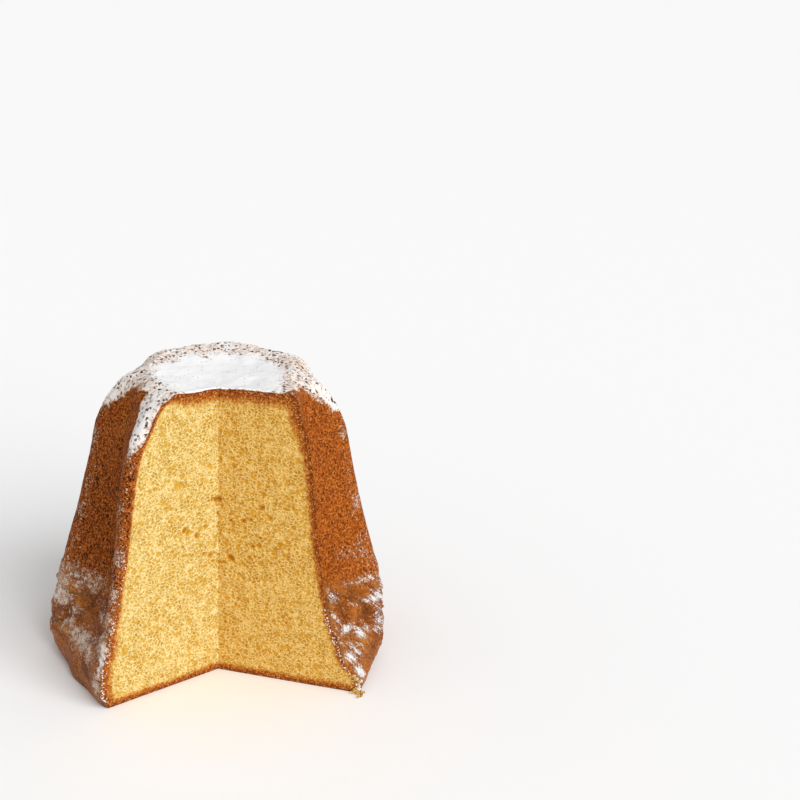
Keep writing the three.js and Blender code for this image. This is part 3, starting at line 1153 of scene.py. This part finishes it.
def make_crumb():
    bm = new_bmesh("pore", "browning", "right_face_shade")
    alongs = even_alongs(FACE_ROWS, FACE_ROWS)
    left, left_brown = cut_face(alongs, 0.0, np.linspace(1, 0, LEFT_COLUMNS))
    right, right_brown = cut_face(alongs, SWEEP, np.linspace(0, 1, RIGHT_COLUMNS + 1)[1:])
    points = np.concatenate((left, right), axis=1)
    brown = np.concatenate((left_brown, right_brown), axis=1)
    places = points.reshape(-1, 3)
    pore = pore_depths(places)
    inside = smoothstep(1 - brown.ravel(), 0.1, 0.6)
    push = inside * (PORE_DEPTH * np.clip(pore, 0, 1) + 0.35 * MM * soft(places, 9 * MM, 22)) + 0.05 * MM
    push += 0.3 * MM * inside * soft(places, 1.8 * MM, 23)
    out = np.zeros_like(points)
    out[:, :LEFT_COLUMNS, :2] = (math.cos(CUT_LEFT), math.sin(CUT_LEFT))
    out[:, LEFT_COLUMNS:, :2] = (-math.cos(CUT_RIGHT), -math.sin(CUT_RIGHT))
    out[:, LEFT_COLUMNS - 1, :2] = (0, -1)
    face_verts = wrap(bm, points - out * push.reshape(brown.shape)[..., None])
    write_layer(bm, "pore", face_verts, pore * inside)
    write_layer(bm, "browning", face_verts, brown)
    # the right face is marked for painted shade in the crumb's colour
    is_right = np.arange(brown.shape[1]) >= LEFT_COLUMNS
    write_layer(bm, "right_face_shade", face_verts, np.broadcast_to(is_right, brown.shape))
    wrap(bm, hidden_wall())
    bmesh.ops.remove_doubles(bm, verts=bm.verts, dist=WELD)
    rim = [edge for edge in bm.edges if edge.is_boundary]
    bmesh.ops.bridge_loops(bm, edges=rim)
    return finish(bm, "crumb", [crumb_material])


crumb = make_crumb()

# %% [markdown]
# ## The coat of icing sugar
# On the top the sugar is a real layer, up to a millimetre thick, with a ragged rim and pits.
# Its grid follows the crust. Faces where the cover is thin are deleted, which leaves the ragged
# edge, and what stays is extruded outwards: a little at the rim and more in the middle. Cloth or
# fluid simulation could let powder settle, but it would not give the same coat in every run.

# %% Make the sugar coat
SUGAR_THICKNESS = 0.8 * MM
COAT_LIFT, COAT_SINK = 0.14 * MM, 0.12 * MM  # its thinnest place, and how deep it starts in the crust
COAT_FROM = 6.2 / (len(OUTLINE) - 1)  # its lowest row, along the outline
COAT_COLUMNS, COAT_ROWS, COAT_TOP_ROWS = 0.95 * MM, 0.9 * MM, 60
THINNEST = 0.06  # a face below this share of the thickness is left out


def coat_thickness(places, cover):
    """From 0 where there is no coat to 1 where it is thickest."""
    thin = 1 - smoothstep(cover, 0.75, 0.97)
    holes = (0.05 + 0.95 * thin) * (0.30 * soft(places, 2.2 * MM, 31) + 0.22 * soft(places, 5 * MM, 32))
    ragged = 0.8 * MM * soft(places, 7 * MM, 33) + 0.9 * MM * soft(places, 2.4 * MM, 36)
    edge = smoothstep(distance_from_cut(places) + ragged, 0.1 * MM, 1.6 * MM)
    return smoothstep(cover + holes, 0.55, 1.0) * edge


def delete_bare_faces(bm):
    """Deletes the faces without a coat, and places where two patches touch in one point only."""
    layer = bm.verts.layers.float["thick"]
    bare = [face for face in bm.faces if max(vert[layer] for vert in face.verts) < THINNEST]
    bmesh.ops.delete(bm, geom=bare, context="FACES")
    pinched = True
    while pinched:
        pinched = [vert for vert in bm.verts if sum(edge.is_boundary for edge in vert.link_edges) > 2]
        bmesh.ops.delete(bm, geom=pinched, context="VERTS")
    print("sugar coat keeps", len(bm.faces), "faces of its grid")


def make_sugar():
    bm = new_bmesh("sugar", "thick")
    lift = bm.verts.layers.float_vector.new("lift")
    alongs = even_alongs(COAT_ROWS, COAT_ROWS, COAT_FROM)
    points, normals = dressed_skin(even_turns(COAT_COLUMNS, 0.8), 1, alongs, COAT_TOP_ROWS)
    points, normals = points[1:], normals[1:]
    places, outwards = points.reshape(-1, 3), normals.reshape(-1, 3)
    cover = sugar_cover(places, outwards)
    thick = coat_thickness(places, cover)
    verts = wrap(bm, points - COAT_SINK * normals)
    write_layer(bm, "sugar", verts, cover)
    write_layer(bm, "thick", verts, thick)
    rolling = 1 + 0.35 * soft(places, 12 * MM, 34) + 0.06 * soft(places, 3 * MM, 35)
    lifts = outwards * (COAT_LIFT + SUGAR_THICKNESS * thick * rolling)[:, None]
    for vert, vector in zip(verts, lifts.tolist()):
        vert[lift] = vector
    bmesh.ops.remove_doubles(bm, verts=bm.verts, dist=WELD)
    delete_bare_faces(bm)
    grown = bmesh.ops.extrude_face_region(bm, geom=bm.faces[:], use_keep_orig=True)["geom"]
    lift = bm.verts.layers.float_vector["lift"]
    for vert in grown:
        if isinstance(vert, bmesh.types.BMVert):
            vert.co += vert[lift]
    return finish(bm, "icing_sugar", [sugar_material])


sugar = make_sugar()

# %% [markdown]
# ## Loose crumbs and grains of sugar
# The knife left crumbs at the right foot of the cut, on the table and stuck to the corner. It also
# dragged grains of sugar over the cut rim of the crust. Each bit is a small ball of facets that
# noise makes uneven. The crumbs are one mesh and the grains another, because each mesh has one
# material. A particle system could scatter them too, but real meshes with a fixed seed stay where
# they are and can be counted.

# %% A bit of any kind
def add_bit(bm, chance, sizes, place, on_table=False):
    """A small uneven ball around a place, or resting on the table there."""
    size = chance.uniform(*sizes)
    ball = bmesh.ops.create_icosphere(bm, subdivisions=2, radius=size)["verts"]
    uneven = Vector((chance.uniform(0, 100), 0, 0))
    for vert in ball:
        vert.co *= 1 + 0.45 * noise.noise(vert.co / size + uneven)
    lowest = min(vert.co.z for vert in ball)
    place = Vector(place)
    place.z = -lowest if on_table else max(place.z, -lowest)
    bmesh.ops.translate(bm, verts=ball, vec=place)
    return ball


def on_cut_rim(chance, turn, lowest, highest, depth):
    """A chance place in a face of the cut, near the crust."""
    rim = ring(chance.uniform(lowest, highest), np.array([turn]))[0]
    rim[:2] -= ray_directions(np.array(turn)) * abs(chance.normal(0, depth))
    return rim


# %% Make the loose crumbs
TABLE_CRUMBS, STUCK_CRUMBS = 34, 46
CRUMB_SIZES = (0.4 * MM, 0.95 * MM)  # radius
CRUMB_SPREAD = 2.6 * MM
CRUMB_SEED = 7
CORNER = ring(0, np.array([SWEEP]))[0]  # the foot of the cut's right face


def make_loose_crumbs():
    bm = new_bmesh("pore", "browning", "right_face_shade")
    chance = np.random.default_rng(CRUMB_SEED)
    baked = bm.verts.layers.float["browning"]
    for number in range(TABLE_CRUMBS + STUCK_CRUMBS):
        if number < TABLE_CRUMBS:
            place = CORNER + (*chance.normal(0, CRUMB_SPREAD, 2), 0)
        else:
            place = on_cut_rim(chance, SWEEP, 0.0, 0.13, 2.5 * MM)
        bit = add_bit(bm, chance, CRUMB_SIZES, place, number < TABLE_CRUMBS)
        brown = chance.uniform(-0.1, 0.35)
        for vert in bit:
            vert[baked] = brown
    return finish(bm, "loose_crumbs", [crumb_material])


loose_crumbs = make_loose_crumbs()

# %% Make the loose grains of sugar
GRAIN_SIZES = (0.18 * MM, 0.42 * MM)
LUMP_SIZES = (0.4 * MM, 0.9 * MM)
RIM_GRAINS = ((0.0, 0.50, 110), (SWEEP, 0.40, 80))  # face of the cut, up to where, how many
CORNER_LUMPS = 14
GRAIN_SEED = 11


def make_loose_sugar():
    bm = new_bmesh("sugar", "bulge", "crease")
    chance = np.random.default_rng(GRAIN_SEED)
    for turn, highest, count in RIM_GRAINS:
        for _ in range(count):
            add_bit(bm, chance, GRAIN_SIZES, on_cut_rim(chance, turn, 0.05, highest, 1.6 * MM))
    for _ in range(CORNER_LUMPS):
        add_bit(bm, chance, LUMP_SIZES, on_cut_rim(chance, SWEEP, 0.0, 0.07, 1.2 * MM))
    white = bm.verts.layers.float["sugar"]
    for vert in bm.verts:
        vert[white] = 1.0
    return finish(bm, "loose_sugar", [sugar_material])


loose_sugar = make_loose_sugar()

# %% [markdown]
# ## Floor
# The cake stands on a plain pale floor, which catches a soft shadow and sends light back into the
# cut. It is one wide disc, so no edge of it shows. It lies a hair below the cake, because two
# surfaces in one plane flicker.

# %% Floor
FLOOR_RADIUS = 6  # metres
FLOOR_GAP = 0.1 * MM


def make_floor():
    bm = bmesh.new()
    bmesh.ops.create_circle(bm, cap_ends=True, segments=96, radius=FLOOR_RADIUS)
    bmesh.ops.translate(bm, verts=bm.verts, vec=(0, 0, -FLOOR_GAP))
    material, _, shader = new_material("pale_floor", 0.9)
    shader.inputs["Base Color"].default_value = (0.97, 0.97, 0.97, 1)
    return finish(bm, "floor", [material])


floor = make_floor()

# %% [markdown]
# ## Light
# A food photograph has soft light from one side and a bright room all round. Here a white world
# is the room, and one sun lamp with a wide angle is the soft light. It comes from the front right,
# so the right side of the cake is warm and bright and the left side lies in its own shade.

# %% Light
world = bpy.data.worlds.new("studio")
bpy.context.scene.world = world
world.use_nodes = True
world.node_tree.nodes["Background"].inputs["Color"].default_value = (1, 1, 1, 1)
world.node_tree.nodes["Background"].inputs["Strength"].default_value = 0.55


def sun(name, side, rise, softness, strength):
    """A far, soft lamp: side degrees to the right of the front, rise degrees up."""
    light = bpy.data.lights.new(name, "SUN")
    light.energy = strength
    light.angle = math.radians(softness)
    lamp = bpy.data.objects.new(name, light)
    side, rise = math.radians(side), math.radians(rise)
    towards = Vector((math.sin(side) * math.cos(rise), -math.cos(side) * math.cos(rise), math.sin(rise)))
    lamp.rotation_euler = towards.to_track_quat("Z", "Y").to_euler()
    bpy.context.collection.objects.link(lamp)


sun("key", 39, 34, 50, 2.45)
print("light: a white world and", len(bpy.data.lights), "soft lamp")

# %% [markdown]
# ## Camera
# The camera looks down on the cake from the front, at 25 degrees. In the picture the cake stands
# low and at the left, so the camera doesn't look straight at it: one place of the cake, halfway up
# its cut edge, has to appear at one pixel of the frame. The camera is turned until it does.

# %% Camera
RISE = math.radians(25)
FRAME_SIDE = 800  # pixels
FOCAL = 2000  # in pixels of the frame
AWAY = 1286 * MM
SENSOR = 36  # millimetres
TARGET = Vector((1, -28.5, 92)) * MM  # about halfway up the cut edge
TARGET_PIXEL = (218, 540)


def make_camera():
    seen = Vector((TARGET_PIXEL[0] - FRAME_SIDE / 2, FRAME_SIDE / 2 - TARGET_PIXEL[1], -FOCAL)).normalized()
    upright = Vector((seen.x / seen.z, -(seen.x ** 2 / seen.z + seen.z) / seen.y, 1)).normalized()
    if upright.y < 0:
        upright = -upright
    in_camera = Matrix((seen.cross(upright), upright, seen)).transposed()
    place = TARGET + AWAY * Vector((0, -math.cos(RISE), math.sin(RISE)))
    view = (TARGET - place).normalized()
    up = Vector((0, math.sin(RISE), math.cos(RISE)))
    in_world = Matrix((view.cross(up), up, view)).transposed()
    data = bpy.data.cameras.new("camera")
    data.sensor_width = SENSOR
    data.lens = data.sensor_width * FOCAL / FRAME_SIDE
    camera = bpy.data.objects.new("camera", data)
    camera.matrix_world = Matrix.Translation(place) @ (in_world @ in_camera.transposed()).to_4x4()
    bpy.context.collection.objects.link(camera)
    bpy.context.scene.camera = camera
    print("camera:", round(AWAY, 3), "m away, lens", round(data.lens, 1), "mm")


make_camera()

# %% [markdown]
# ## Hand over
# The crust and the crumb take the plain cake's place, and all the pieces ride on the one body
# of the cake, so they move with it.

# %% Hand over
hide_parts("pandoro")
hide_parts("pandoro")
for piece in (crust, crumb, sugar, loose_crumbs, loose_sugar):
    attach(piece, "root")
